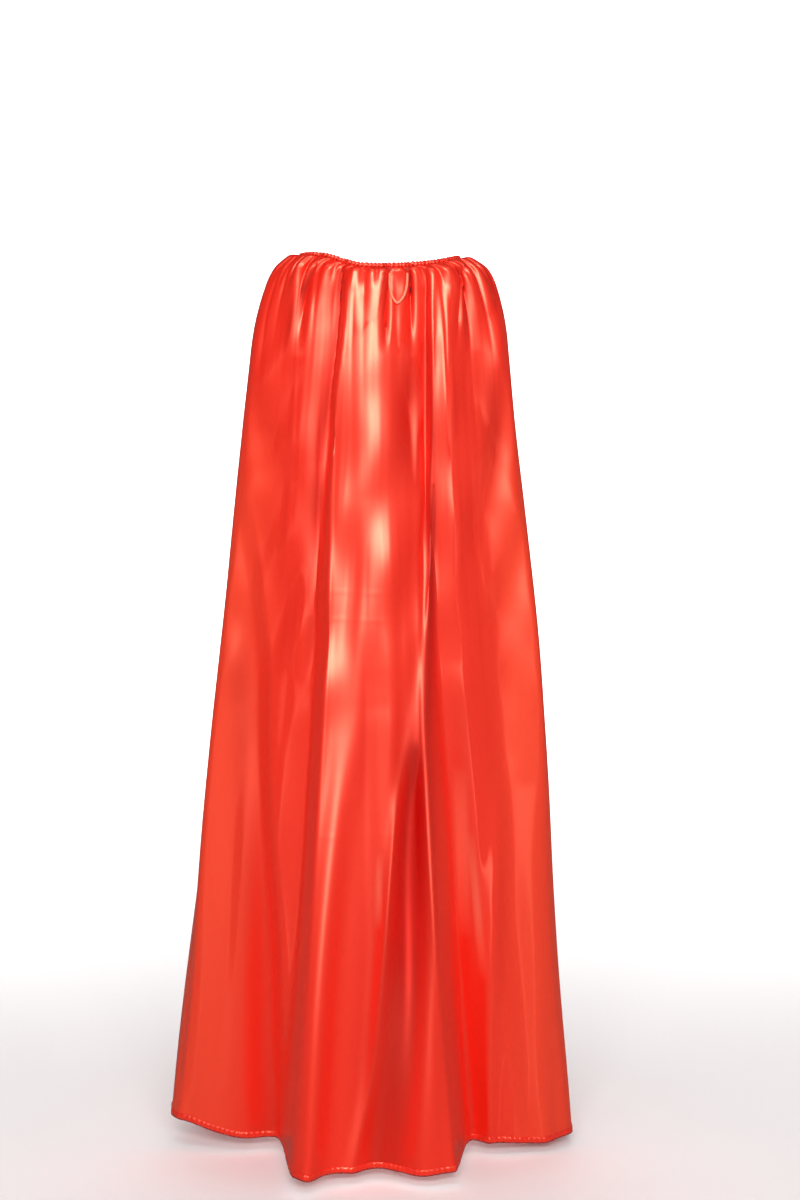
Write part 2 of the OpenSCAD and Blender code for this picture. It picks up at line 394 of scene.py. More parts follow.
def material(name):
    """The named material, made the first time it is asked for."""
    c = bpy.context.scene.cape_colours
    threads = {
        "edge_thread": (c.edge, 2600.0), "seam_thread": (SEAM_RED, 2600.0),
        "tie_cord_satin": (c.cord, 1500.0), "loop_piping": (LOOP_PAINTED_HIGHLIGHT, 1500.0),
    }
    found = bpy.data.materials.get(name)
    return found or (thread_material(name, *threads[name]) if name in threads else MAKERS[name]())


# --- the cloth's surface ---------------------------------------------------------------------

SIDE_PHI, FRONT_PHI, NECK_PHI = 105.0, 134.0, 165.0
LOOP_AT = (-0.028, 0.0845, -0.021)
NAPE_ROOM, LABEL_ROOM = 0.005, 0.006
# How far the cloth's top reaches up into the casing's wall.
TUCK = 0.0016
OPEN_DROP = 0.200
SHOULDER_BACK, SHOULDER_FRONT = 0.098, 0.122
WING_BACK, HEM_FRONT = 0.092, 0.270
BULGE_START = 0.200
BULGE_LEFT, BULGE_RIGHT, BULGE_FLANK = 0.150, 0.126, 0.034

# The standing folds of the back, from the wearer's left to the right. Each is a line down the cloth:
# (name, [(drop, x), ...], [(drop, depth), ...], [(drop, half width), ...]); depth is outwards.
FOLDS = (
    ("left shoulder", [(0.0, 0.090), (0.06, 0.118), (0.14, 0.140)],
     [(0.0, -0.004), (0.04, -0.013), (0.14, 0.0)], [(0.0, 0.006), (0.14, 0.012)]),
    ("left main", [(0.0, 0.048), (0.06, 0.055), (0.19, 0.073), (0.35, 0.090), (0.62, 0.100)],
     [(0.0, -0.005), (0.05, -0.017), (0.15, -0.025), (0.27, -0.022), (0.45, -0.016), (0.62, 0.0)],
     [(0.0, 0.008), (0.10, 0.008), (0.30, 0.012), (0.62, 0.022)]),
    ("nape ridge", [(0.05, 0.024), (0.30, 0.018), (0.62, -0.004)],
     [(0.05, 0.0), (0.14, 0.009), (0.50, 0.008), (0.66, 0.0)],
     [(0.05, 0.026), (0.20, 0.040), (0.62, 0.044)]),
    ("blade ridge", [(0.04, -0.104), (0.30, -0.124), (0.55, -0.130)],
     [(0.04, 0.0), (0.14, 0.013), (0.45, 0.011), (0.60, 0.0)],
     [(0.04, 0.018), (0.20, 0.030), (0.60, 0.034)]),
    ("nape hollow", [(0.12, -0.040), (0.36, -0.046)], [(0.12, 0.0), (0.22, -0.009), (0.36, 0.0)],
     [(0.12, 0.016), (0.36, 0.024)]),
    ("blade hollow", [(0.13, -0.166), (0.36, -0.178)], [(0.13, 0.0), (0.22, -0.006), (0.36, 0.0)],
     [(0.13, 0.014), (0.36, 0.020)]),
    ("left of nape", [(0.0, -0.010), (0.13, -0.009)], [(0.0, -0.004), (0.03, -0.012), (0.14, 0.0)],
     [(0.0, 0.004), (0.14, 0.007)]),
    ("right of nape", [(0.0, -0.046), (0.13, -0.050)], [(0.0, -0.004), (0.04, -0.012), (0.14, 0.0)],
     [(0.0, 0.004), (0.14, 0.007)]),
    ("right main", [(0.0, -0.076), (0.26, -0.082), (0.72, -0.083)],
     [(0.0, -0.005), (0.05, -0.015), (0.30, -0.021), (0.50, -0.020), (0.72, 0.0)],
     [(0.0, 0.009), (0.20, 0.012), (0.50, 0.014), (0.72, 0.022)]),
    ("middle valley", [(0.55, -0.070), (0.83, -0.052), (1.07, -0.042), (1.36, -0.020)],
     [(0.55, 0.0), (0.80, -0.020), (0.95, -0.024), (1.10, -0.016), (1.36, -0.006)],
     [(0.55, 0.014), (0.90, 0.028), (1.36, 0.030)]),
    ("right blade", [(0.0, -0.125), (0.13, -0.131)], [(0.0, -0.003), (0.05, -0.009), (0.14, 0.0)],
     [(0.0, 0.004), (0.14, 0.008)]),
    ("right slit", [(0.0, -0.150), (0.06, -0.178)], [(0.0, -0.004), (0.03, -0.008), (0.09, 0.0)],
     [(0.0, 0.004), (0.09, 0.006)]),
    ("left ridge", [(0.35, 0.020), (0.70, 0.050), (0.84, 0.074), (0.96, 0.090), (1.36, 0.112)],
     [(0.35, 0.0), (0.70, 0.010), (1.00, 0.022), (1.36, 0.034)], [(0.35, 0.030), (1.36, 0.020)]),
    ("middle ridge",
     [(0.50, -0.055), (0.70, -0.060), (0.82, -0.036), (0.92, -0.020), (1.10, 0.004), (1.22, 0.016),
      (1.36, 0.044)], [(0.50, 0.0), (0.70, 0.008), (1.00, 0.014), (1.25, 0.012), (1.36, 0.008)],
     [(0.50, 0.014), (1.36, 0.012)]),
    ("middle dip", [(0.60, 0.010), (1.36, 0.010)], [(0.60, 0.0), (1.00, -0.010), (1.36, -0.020)],
     [(0.60, 0.030), (1.36, 0.028)]),
    ("right ridge", [(0.55, -0.094), (0.80, -0.101), (0.95, -0.096), (1.10, -0.083), (1.36, -0.056)],
     [(0.55, 0.0), (0.80, 0.008), (1.10, 0.014), (1.36, 0.018)], [(0.55, 0.016), (1.36, 0.026)]),
    ("right valley", [(0.60, -0.118), (0.96, -0.128), (1.15, -0.120), (1.36, -0.142)],
     [(0.60, 0.0), (0.90, -0.008), (1.36, -0.013)], [(0.60, 0.018), (1.36, 0.026)]),
    ("right wing rib", [(0.75, -0.205), (0.95, -0.188), (1.12, -0.173), (1.36, -0.164)],
     [(0.75, 0.0), (0.95, 0.009), (1.36, 0.012)], [(0.75, 0.016), (1.36, 0.014)]),
    ("right wing edge", [(0.80, -0.232), (1.00, -0.243), (1.36, -0.262)],
     [(0.80, 0.0), (1.00, 0.010), (1.36, 0.022)], [(0.80, 0.020), (1.36, 0.026)]),
    ("behind left edge", [(0.50, 0.225), (0.84, 0.200), (1.36, 0.178)],
     [(0.50, 0.0), (0.80, -0.010), (1.36, -0.016)], [(0.50, 0.018), (1.36, 0.022)]),
)

# The folds whose one edge lies over the cloth beside it, with how far off that cloth has risen again.
OVERLAPS = {"left main": 0.038, "right main": 0.044}

# The left edge of the middle lies over the wing beside it, from half way down.
LAP_X = [(0.30, 0.226), (0.47, 0.213), (0.60, 0.208), (0.73, 0.203), (0.84, 0.194), (0.96, 0.184),
         (1.10, 0.174), (1.22, 0.166), (1.36, 0.153)]
LAP_DEPTH = [(0.30, 0.0), (0.45, 0.010), (0.70, 0.021), (1.00, 0.031), (1.36, 0.040)]

# Lens-shaped patches of painted light, where one layer lets light through: ((x at top, x at foot), (top,
# foot), half width).
LIGHT_THROUGH_PATCHES = (((-0.122, -0.131), (0.76, 1.03), 0.010), ((-0.138, -0.160), (0.86, 1.09), 0.006),
                ((0.000, 0.001), (0.88, 0.99), 0.005))
# Faint lines from being packed flat: (drop, slope across).
PACKING = ((0.49, 0.02), (0.53, -0.01), (0.85, 0.01))


def lower_of(a, b, blur):
    """The lower of two values, rounded off where they cross."""
    return (a + b) / 2 - np.sqrt(((a - b) / 2) ** 2 + blur**2)


def half_width(side, d):
    """Half width of the plan at drop d, on the side with that sign."""
    p = bpy.context.scene.cape_cloth
    head = lerp(p.neck_half, p.shoulder, (np.maximum(0.0, d) / HEAD_FOOT) ** 0.42)
    s = (d - HEAD_FOOT) / (LENGTH - HEAD_FOOT)
    return lower_of(head, lerp(p.shoulder, np.where(side > 0, p.hem_left, p.hem_right), s), 0.003)


def direction(u, d):
    """Direction of the point u across the cloth, in degrees from the middle of the back."""
    edge = FRONT_PHI + (NECK_PHI - FRONT_PHI) * np.exp(-np.maximum(0.0, d) / OPEN_DROP)
    return np.where(np.abs(u) <= 1.0, u * SIDE_PHI, np.sign(u) * lerp(SIDE_PHI, edge, np.abs(u) - 1.0))


def fold_shape(name, away, width):
    """Section of a fold: a soft groove, or an edge over the cloth beside it, which rises again slowly."""
    if name not in OVERLAPS:
        return np.exp(-((away / width) ** 2))
    return ease(away / width + 0.5) * np.exp(-((np.maximum(0.0, away) / OVERLAPS[name]) ** 2))


def near_loop(x, d):
    """1 behind the hang loop, fading to nothing round it."""
    return np.exp(-(((x - LOOP_AT[0]) / 0.020) ** 2) - ((d - 0.045) / 0.034) ** 2)


def near_label(x, d):
    """1 over the label, fading to nothing round it."""
    return np.exp(-(((x - 0.020) / 0.030) ** 2) - ((d - 0.045) / 0.045) ** 2)


def plan_point(u, d):
    """Level position of the cloth at u and drop d, without the gathers."""
    p = bpy.context.scene.cape_cloth
    a = np.radians(direction(u, d))
    k = d / HEAD_FOOT
    s = (d - HEAD_FOOT) / (LENGTH - HEAD_FOOT)
    x = half_width(np.sign(u), d) * np.sin(a)
    behind = lower_of(lerp(p.neck_back, SHOULDER_BACK, k), lerp(SHOULDER_BACK, WING_BACK, s), 0.002)
    before = lower_of(lerp(p.neck_front, SHOULDER_FRONT, k), lerp(SHOULDER_FRONT, HEM_FRONT, s), 0.003)
    y = np.where(np.cos(a) > 0.0, behind, before) * np.cos(a)
    inner = ease((98.0 - np.abs(direction(u, d))) / 24.0)
    q = -lower_of(0.0, (BULGE_START - d) / (LENGTH - BULGE_START), 0.02)
    grow = lerp(0.55, 1.0, np.maximum(0.0, s))
    stand = (0.25 * ease(q) + 0.75 * q) * p.hem_bulge
    stand = stand * ease((BULGE_LEFT * grow - x) / BULGE_FLANK + 0.5)
    stand = stand * ease((x + BULGE_RIGHT * grow) / BULGE_FLANK + 0.5)
    back_form = (
        0.006 * np.exp(-(((d - 0.15) / 0.05) ** 2)) - 0.004 * np.exp(-(((d - 0.27) / 0.06) ** 2))
        + 0.018 * np.exp(-(((d - 0.60) / 0.13) ** 2))
    )
    back_form = back_form * np.exp(-((x / 0.13) ** 2))
    fold = -NAPE_ROOM * near_loop(x, d)
    for name, line, depth, width in FOLDS:
        fold = fold + along(depth, d) * fold_shape(name, x - along(line, d), along(width, d))
    lap = along(LAP_DEPTH, d)
    edge = along(LAP_X, d)
    over = ease((x - edge) / 0.018 + 0.5)
    fall = np.exp(-np.maximum(0.0, x - edge) / 0.10)
    y = y + inner * (stand + back_form + fold + lap * (0.35 - over * fall) * ease((x - 0.02) / 0.10))
    return x, y


def level_normal(u, d):
    step = 0.003
    x1, y1 = plan_point(u + step, d)
    x0, y0 = plan_point(u - step, d)
    tx, ty = x1 - x0, y1 - y0
    size = np.hypot(tx, ty)
    return -ty / size, tx / size


def neckline(a):
    """Height of the neckline, which dips at the nape and the throat and stands up at the shoulders."""
    p = bpy.context.scene.cape_cloth
    dip = np.where(np.abs(a) < 90.0, p.nape_dip, p.throat_dip) * np.cos(np.radians(a)) ** 2
    left = 0.010 * ease((a - 10.0) / 34.0) * (1.0 - 0.5 * ease((a - 46.0) / 40.0)) * ease((140.0 - a) / 45.0)
    right = 0.001 * ease((-a - 40.0) / 30.0) * ease((140.0 + a) / 45.0)
    return left + right - dip


def gathers(u, d):
    """Crisp puckers under the casing, which run together into fewer, softer folds."""
    p = bpy.context.scene.cape_cloth
    rng = random.Random(11)
    out = np.zeros_like(u)
    for share, drop, depth, sway in (
        (1.9, 0.014, 0.40, 0.4), (1.0, 0.034, 0.80, 0.6), (0.55, 0.080, 0.95, 1.2), (0.30, 0.150, 0.45, 1.5)
    ):
        turn = u * p.gather_count * share * math.pi * 0.25
        for _ in range(5):
            turn = turn + sway * math.pi * 0.25 * np.sin(u * rng.uniform(2.0, 9.0) + rng.uniform(0.0, 6.28))
        swell = 1.0 + 0.45 * np.sin(u * rng.uniform(11.0, 17.0) + rng.uniform(0.0, 6.28))
        ridge = 2.0 * np.sqrt(np.abs(np.sin(turn)) + 0.02 + 0.5 * ease(d / drop - 0.6)) - 1.2
        out = out + depth * swell * np.exp(-((np.maximum(0.0, d) / drop) ** 2)) * ridge
    return out * p.gather_depth * (0.4 + 0.6 * ease(d / 0.012))


def hem_lift(x, d):
    """The hem isn't quite level: it rises to the wearer's left corner and drops a little to the right one."""
    return (0.016 * ease((x - 0.19) / 0.13) - 0.010 * ease((-x - 0.17) / 0.12)) * ease((d - 0.75) / 0.60)


def wander(u, d):
    """Long shallow dents that keep the hanging cloth from being perfectly smooth."""
    rng = random.Random(5)
    out = np.zeros_like(u)
    for _ in range(8):
        across, down, turn = rng.uniform(9.0, 24.0), rng.uniform(-9.0, 9.0), rng.uniform(0.0, 6.28)
        out = out + np.sin(u * across + d * down + turn + 0.8 * np.sin(d * 5.0 + turn))
    patchy = np.zeros_like(u)
    for _ in range(7):
        across, down = rng.uniform(12.0, 28.0), rng.choice((-1, 1)) * rng.uniform(18.0, 42.0)
        turn = rng.uniform(0.0, 6.28)
        patchy = patchy + np.sin(u * across + d * down + turn)
    upper = ease((d - 0.06) / 0.10) * ease((0.72 - d) / 0.20) * ease((0.80 - np.abs(u)) / 0.15)
    return 0.0010 * out * ease((d - 0.05) / 0.20) + 0.00110 * patchy * upper


def cloth_point(u, d):
    """Place of the cloth at u across it and drop d below the casing."""
    x, y = plan_point(u, d)
    nx, ny = level_normal(u, d)
    stay = ease((np.abs(np.abs(u) - 1.0)) / 0.05)
    hold = lerp(1.0, stay, ease((d - HEAD_FOOT + 0.05) / 0.05))
    g = gathers(u, d) * hold * (1.0 - 0.65 * near_loop(x, d)) + LABEL_ROOM * near_label(x, d)
    g = g + wander(u, d) * hold
    x = x - 0.015 * np.exp(-(((d - 0.62) / 0.30) ** 2)) * ease((1.0 + u) / 0.10) * ease((-u - 0.45) / 0.30)
    a = direction(u, d)
    k = 1.0 - np.clip(d / HEAD_FOOT, 0.0, 1.0)
    side = np.sin(np.radians(a)) ** 2
    fall = np.maximum(0.0, d)
    puff = 0.004 * (1.0 - side) * (1.0 - np.exp(-fall / 0.006)) * np.exp(-((fall / 0.035) ** 2))
    puff = puff + 0.016 * side * (1.0 - np.exp(-fall / 0.030)) * np.exp(-((fall / 0.090) ** 2))
    puff = puff + 0.007 * side**2 * (1.0 - np.exp(-fall / 0.0006)) * np.exp(-((fall / 0.006) ** 2))
    return np.stack([x + nx * g, y + ny * g, neckline(a) * k**6 + puff - d + hem_lift(x, d)], axis=-1)


def cloth_grid():
    """u across and drop down, with columns on both side lines."""
    p = bpy.context.scene.cape_cloth
    side = np.linspace(1.0, 2.0, p.front_columns + 1)
    us = np.concatenate([-side[::-1], np.linspace(-1.0, 1.0, p.columns + 1)[1:-1], side])
    k = np.linspace(0.0, 1.0, p.rows + 1)
    ds = LENGTH * (0.62 * k + 0.38 * k**2.2)
    return us, np.concatenate([[-TUCK, 0.0007, 0.0015, 0.0026], ds[1:]])


# --- mesh builders ---------------------------------------------------------------------------


def grid_normals(points):
    """Outward normals of a grid of points indexed [across, down]."""
    du = np.gradient(points, axis=0)
    dv = np.gradient(points, axis=1)
    n = np.cross(du, dv)
    return n / np.maximum(np.linalg.norm(n, axis=-1, keepdims=True), 1e-12)


def quad_faces(m, n, start=0, flip=False):
    i, j = np.meshgrid(np.arange(m - 1), np.arange(n - 1), indexing="ij")
    a = start + i * n + j
    quads = np.stack([a, a + n, a + n + 1, a + 1], axis=-1).reshape(-1, 4)
    return quads[:, ::-1] if flip else quads


def two_faced_sheet(name, points, thickness, face_material, back_material):
    """A closed thin sheet: its outer side in one material, its inner side in another."""
    m, n = points.shape[:2]
    normal = grid_normals(points)
    outer = (points + normal * thickness * 0.5).reshape(-1, 3)
    inner = (points - normal * thickness * 0.5).reshape(-1, 3)
    half = m * n
    rim = np.concatenate([
        np.arange(n - 1), np.arange(m - 1) * n + n - 1,
        (m - 1) * n + np.arange(n - 1, 0, -1), np.arange(m - 1, 0, -1) * n])
    nxt = np.roll(rim, -1)
    edge = np.stack([rim, nxt, nxt + half, rim + half], axis=-1)
    faces = np.concatenate([quad_faces(m, n), quad_faces(m, n, half, flip=True), edge])
    obj = new_object(name, np.concatenate([outer, inner]), faces.tolist(), face_material)
    obj.data.materials.append(back_material)
    index = np.zeros(len(faces), int)
    count = (m - 1) * (n - 1)
    index[count: 2 * count] = 1
    obj.data.polygons.foreach_set("material_index", index)
    return obj


def mark(obj, name, values):
    """A value from 0 to 1 at each vertex, for the materials."""
    layer = obj.data.attributes.new(name, "FLOAT", "POINT")
    layer.data.foreach_set("value", np.clip(values, 0.0, 1.0).reshape(-1))


def tone_cloth(obj, points, u, d):
    """Paints light and shade into the satin: painted backlight where one layer is against the light, painted
    light in see-through patches, painted shade where folds close; and marks its packing creases.
    """
    x, y = points[..., 0], points[..., 1]
    # Painted shade, darkest in the cores of the gathers and the folds.
    core = 0.7 * ease(-gathers(u, d) / 0.004)
    for name, line, depth, width in FOLDS:
        deep = np.clip(-along(depth, d) / 0.020, 0.0, 1.0)
        inside = (d > line[0][0]) & (d < line[-1][0] + 0.02) & (y > 0.0)
        away = x - along(line, d)
        close = 1.0 if name not in OVERLAPS else np.exp(-((away / 0.014) ** 2))
        close = close * (1.0 if name == "middle valley" else 1.0 - 0.75 * ease((d - 0.62) / 0.25))
        core = core + deep * inside * close * fold_shape(name, away, along(width, d))
    # Painted backlight towards the sides, from a tenth of a metre down.
    backlight = ease((np.abs(x) - 0.55 * half_width(x, d)) / 0.10) * ease((d - 0.10) / 0.30)
    # Painted light in the lens-shaped see-through patches.
    thin = np.zeros_like(x)
    for line, reach, wide in LIGHT_THROUGH_PATCHES:
        k = np.clip((d - reach[0]) / (reach[1] - reach[0]), 0.0, 1.0)
        lens = np.exp(-(((x - lerp(*line, k)) / wide) ** 4))
        thin = thin + np.sin(math.pi * k) ** 0.7 * lens * (y > 0.0)
    crease = np.zeros_like(x)
    for at, slope in PACKING:
        crease = crease + np.exp(-(((d - at - slope * x) / 0.0022) ** 2)) * (y > 0.0)
    for name, values in (
        ("painted_backlight", backlight), ("painted_fold_shade", core), ("packing_crease", crease), ("painted_light_patch", thin)
    ):
        mark(obj, name, np.tile(values.reshape(-1), 2))


def reach_along(line):
    """Distance of each point of a line from its start."""
    return np.concatenate([[0.0], np.cumsum(np.linalg.norm(np.diff(line, axis=0), axis=1))])


def turns(sides):
    """Angles of the corners of a round section."""
    return np.arange(sides) * 2.0 * math.pi / sides


def sampled(at, reach, rows):
    """Rows of a line at some distances along it."""
    return np.stack([np.interp(at, reach, rows[:, k]) for k in range(rows.shape[1])], axis=-1)


def frames_along(path, up):
    """Unit tangents, sides and ups for a path, turned as little as possible."""
    path = np.asarray(path, float)
    tangent = np.gradient(path, axis=0)
    tangent /= np.linalg.norm(tangent, axis=1, keepdims=True)
    side = np.zeros_like(path)
    ref = np.asarray(up, float)
    for i, t in enumerate(tangent):
        s = np.cross(t, ref)
        s /= np.linalg.norm(s)
        side[i] = s
        ref = np.cross(s, t)
    return tangent, side, np.cross(side, tangent)


def tube_data(path, radius, up, sides, closed_ends=True):
    """Verts and faces of a tube; radius is a number, or an array [ring] or [ring, side]."""
    path = np.asarray(path, float)
    _, side, high = frames_along(path, up)
    turn = turns(sides)
    r = np.asarray(radius, float)
    r = np.broadcast_to(r[:, None] if r.ndim == 1 else r, (len(path), sides))
    verts = (path[:, None, :] + side[:, None, :] * (np.cos(turn)[None, :] * r)[..., None]
             + high[:, None, :] * (np.sin(turn)[None, :] * r)[..., None]).reshape(-1, 3)
    faces = []
    for i in range(len(path) - 1):
        for k in range(sides):
            a, b = i * sides + k, i * sides + (k + 1) % sides
            faces.append((a, b, b + sides, a + sides))
    if closed_ends:
        faces.append(tuple(range(sides - 1, -1, -1)))
        faces.append(tuple((len(path) - 1) * sides + k for k in range(sides)))
    return verts, faces


def smooth_path(points, step):
    """Catmull-Rom through given points, resampled evenly at a step."""
    p = np.asarray(points, float)
    p = np.vstack([2 * p[0] - p[1], p, 2 * p[-1] - p[-2]])
    t = np.linspace(0.0, 1.0, 24, endpoint=False)[:, None]
    rows = []
    for i in range(1, len(p) - 2):
        a, b, c, e = p[i - 1], p[i], p[i + 1], p[i + 2]
        rows.append(0.5 * (2 * b + (c - a) * t + (2 * a - 5 * b + 4 * c - e) * t**2
                           + (3 * b - a - 3 * c + e) * t**3))
    line = np.vstack(rows + [p[-2][None]])
    reach = reach_along(line)
    at = np.linspace(0.0, reach[-1], max(3, int(round(reach[-1] / step)) + 1))
    return sampled(at, reach, line)


def join_data(parts):
    verts, faces, start = [], [], 0
    for v, f in parts:
        verts.append(np.asarray(v, float))
        faces.extend([tuple(int(k) + start for k in face) for face in f])
        start += len(v)
    return np.vstack(verts), faces


THREAD = 0.0006


def stitches(name, line, outwards, length, gap):
    """A row of short stitches lying on a line; outwards lifts each one onto the cloth."""
    line = np.asarray(line, float)
    outwards = np.asarray(outwards, float)
    reach = reach_along(line)
    shape = np.array([(0.0, 0.25), (0.2, 0.9), (0.5, 1.0), (0.8, 0.9), (1.0, 0.25)])
    parts = []
    at = gap
    while at + length < reach[-1]:
        s = at + shape[:, 0] * length
        base = sampled(s, reach, line)
        n = sampled(s, reach, outwards)
        n /= np.linalg.norm(n, axis=1, keepdims=True)
        path = base + n * (shape[:, 1:2] * THREAD * 0.5)
        parts.append(tube_data(path, shape[:, 1] * THREAD * 0.5 + THREAD * 0.08, n[0], 6))
        at += length + gap
    return new_object(name, *join_data(parts), material("seam_thread"))


# --- the settled cloth -----------------------------------------------------------------------

cloth = {}
SATIN_FEEL = {
    "quality": 5, "mass": 0.10, "tension_stiffness": 18.0, "compression_stiffness": 18.0,
    "shear_stiffness": 6.0, "bending_stiffness": 0.3, "tension_damping": 8.0, "compression_damping": 8.0,
    "shear_damping": 8.0, "bending_damping": 0.5, "air_damping": 2.0, "vertex_group_mass": "held",
    "pin_stiffness": 0.6,
}


def settle(points, ds, us):
    """A short cloth simulation lets the shaped sheet sag and pucker as satin does; a smoothed, weighted share
    of its movement is kept.
    """
    m, n = points.shape[:2]
    obj = new_object("settling_cloth", points.reshape(-1, 3), quad_faces(m, n).tolist())
    group = obj.vertex_groups.new(name="held")
    d = np.broadcast_to(ds[None, :], (m, n))
    u = np.broadcast_to(us[:, None], (m, n))
    hold = np.round(lerp(0.10, 0.06, ease((d - 0.10) / 0.25)), 3)
    hold = np.where((np.abs(np.abs(u) - 1.0) < 1e-6) & (d > HEAD_FOOT - 0.03), 1.0, hold)
    hold[:, :6] = 1.0
    flat = hold.reshape(-1)
    for weight in np.unique(flat):
        group.add([int(i) for i in np.nonzero(flat == weight)[0]], float(weight), "REPLACE")
    mod = obj.modifiers.new("Cloth", "CLOTH")
    for key, value in SATIN_FEEL.items():
        setattr(mod.settings, key, value)
    mod.collision_settings.use_collision = False
    mod.collision_settings.use_self_collision = False
    scene = bpy.context.scene
    frames = 14
    mod.point_cache.frame_start, mod.point_cache.frame_end = 1, frames
    for f in range(1, frames + 1):
        scene.frame_set(f)
    dg = bpy.context.evaluated_depsgraph_get()
    done = obj.evaluated_get(dg).to_mesh()
    out = np.empty(m * n * 3, np.float32)
    done.vertices.foreach_get("co", out)
    out = out.reshape(m, n, 3).astype(float)
    mesh = obj.data
    bpy.data.objects.remove(obj, do_unlink=True)
    bpy.data.meshes.remove(mesh)
    scene.frame_set(1)
    moved = out - points
    trust = 0.9 - 0.75 * ease((np.abs(u) - 0.45) / 0.30)
    # The side lines are the fronts' hinges, so they stay where they are.
    trust = trust * lerp(1.0, ease(np.abs(np.abs(u) - 1.0) / 0.10), ease((d - HEAD_FOOT + 0.05) / 0.05))
    return points + (softened(moved, 90, 40) + 0.12 * moved) * trust[..., None]


def softened(values, across, down):
    """Averages a grid of values with their neighbours, leaving its borders."""
    values = values.copy()
    for k in range(max(across, down)):
        if k < across:
            values[1:-1] = (values[:-2] + 2.0 * values[1:-1] + values[2:]) / 4.0
        if k < down:
            values[:, 1:-1] = (values[:, :-2] + 2.0 * values[:, 1:-1] + values[:, 2:]) / 4.0
    return values


def swing_with(obj, side):
    """Bakes a front's placement into its mesh; the body and edge that it looks up are not used."""
    body = LEFT if side > 0 else RIGHT
    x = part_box(f"{body}_panel")[1 if side > 0 else 0].x
    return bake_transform(obj)


def columns(kind):
    """The slice of the grid's columns that belongs to the back or to a front."""
    p = bpy.context.scene.cape_cloth
    f, b = p.front_columns, p.columns
    return {"right": slice(0, f + 1), "back": slice(f, f + b + 1), "left": slice(f + b, 2 * f + b + 1)}[kind]


def dress(obj, kind, slot, *nodes):
    """Puts a back piece on the back's body, leaves a front piece where it is, and hides the nodes that it
    stands for; slot is not used.
    """
    if kind == "back":
        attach(obj, BACK)
    else:
        swing_with(obj, 1 if kind == "left" else -1)
    if nodes:
        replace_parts(obj, *nodes)
    return obj


# --- operators -------------------------------------------------------------------------------

CAMERA_X, CAMERA_TILT = -0.031, 5.29
# Each lamp's name, place, width, height, power, aim, and whether it shows in reflections.
LAMPS = (
    ("key", (-0.10, 4.4, 0.80), 2.4, 0.8, 150.0, (0.0, 0.0, -0.40), True),
    ("floor", (0.0, 1.8, 2.2), 3.5, 1.2, 36.0, (0.0, 1.4, -1.4), True),
    ("left", (3.6, 2.0, 0.4), 1.6, 2.6, 22.0, (0.0, 0.0, -0.6), False),
    ("right", (-3.6, 2.0, 0.4), 1.6, 2.6, 24.0, (0.0, 0.0, -0.6), False),
    ("backdrop", (0.0, -3.6, 3.6), 9.0, 1.6, 900.0, (0.0, -7.5, 0.6), True),
)


class CAPE_OT_stage(bpy.types.Operator):
    """Floor, soft studio lamps and the camera."""

    bl_idname = "cape.stage"
    bl_label = "Stage"

    def execute(self, context):
        p = context.scene.cape_stage
        s = Shader("studio_paper")
        drift = s.noise(s.coords(), 0.7, 2.0)
        base = s.mix((0.95, 0.935, 0.935), (0.92, 0.90, 0.90), drift)
        paper = s.finish({"Base Color": base, "Roughness": 0.8 + drift * 0.1})
        sweep = self.sweep(p.floor / 2, paper)
        sweep.visible_glossy = False
        for lamp in LAMPS:
            self.lamp(*lamp)
        world = bpy.data.worlds.new("studio")
        context.scene.world = world
        world.use_nodes = True
        sky = world.node_tree.nodes["Background"].inputs
        sky["Color"].default_value = (1.0, 0.99, 0.99, 1.0)
        sky["Strength"].default_value = 0.12
        camera = bpy.data.cameras.new("camera")
        camera.lens = p.lens
        camera.sensor_width = 36.0
        camera.clip_end = 100.0
        eye = bpy.data.objects.new("camera", camera)
        context.scene.collection.objects.link(eye)
        eye.location = (CAMERA_X, p.distance, HEM_Z + p.height)
        tilt = math.radians(CAMERA_TILT)
        look = Vector((0.0, -math.cos(tilt), -math.sin(tilt)))
        eye.rotation_euler = look.to_track_quat("-Z", "Y").to_euler()
        context.scene.camera = eye
        context.scene.view_settings.view_transform = "Standard"
        return {"FINISHED"}

    def sweep(self, side, paper):
        """Floor that curves up into a plain wall behind the cape."""
        floor_z, radius, start, wall = CAD_BOX[0].z - 0.03, 2.0, -5.5, 9.0
        profile = [(side, 0.0), (start, 0.0)]
        for k in range(1, 17):
            a = math.pi / 2 * k / 16
            profile.append((start - radius * math.sin(a), radius * (1.0 - math.cos(a))))
        profile.append((start - radius, wall))
        points = np.array([[(x, y, floor_z + z) for y, z in profile] for x in (-side, side)])
        return new_object("studio_sweep", points.reshape(-1, 3), quad_faces(2, len(profile)).tolist(), paper)

    def lamp(self, name, place, width, height, power, aim, glossy):
        light = bpy.data.lights.new(name, "AREA")
        light.shape = "RECTANGLE"
        light.size, light.size_y, light.energy = width, height, power
        obj = bpy.data.objects.new(name, light)
        bpy.context.scene.collection.objects.link(obj)
        obj.location = place
        obj.rotation_euler = (Vector(aim) - Vector(place)).to_track_quat("-Z", "Y").to_euler()
        obj.visible_glossy = glossy


def ring_path(us, height):
    """The line that the casing follows, at a height above its foot."""
    x, y = plan_point(us, np.zeros_like(us))
    return np.stack([x, y, neckline(direction(us, np.zeros_like(us))) + height], axis=-1)


CASING_RISE, CASING_RADIUS, CASING_BORE = 0.0045, 0.0042, 0.0019
# The ruched casing is slimmer over the shoulders, and pressed flat to the neck at the nape and the throat.
CASING_SLIM, CASING_PRESS = 0.25, 0.30
RUCHE_PITCH = 0.0062


def sideways(us):
    """0 at the nape and 1 over the shoulders."""
    return np.sin(np.radians(direction(us, np.zeros_like(us)))) ** 2


def cord_line(us):
    """Middle of the casing, which is lower and slimmer over the shoulders."""
    return ring_path(us, CASING_RISE * (1.0 - CASING_SLIM * sideways(us)))


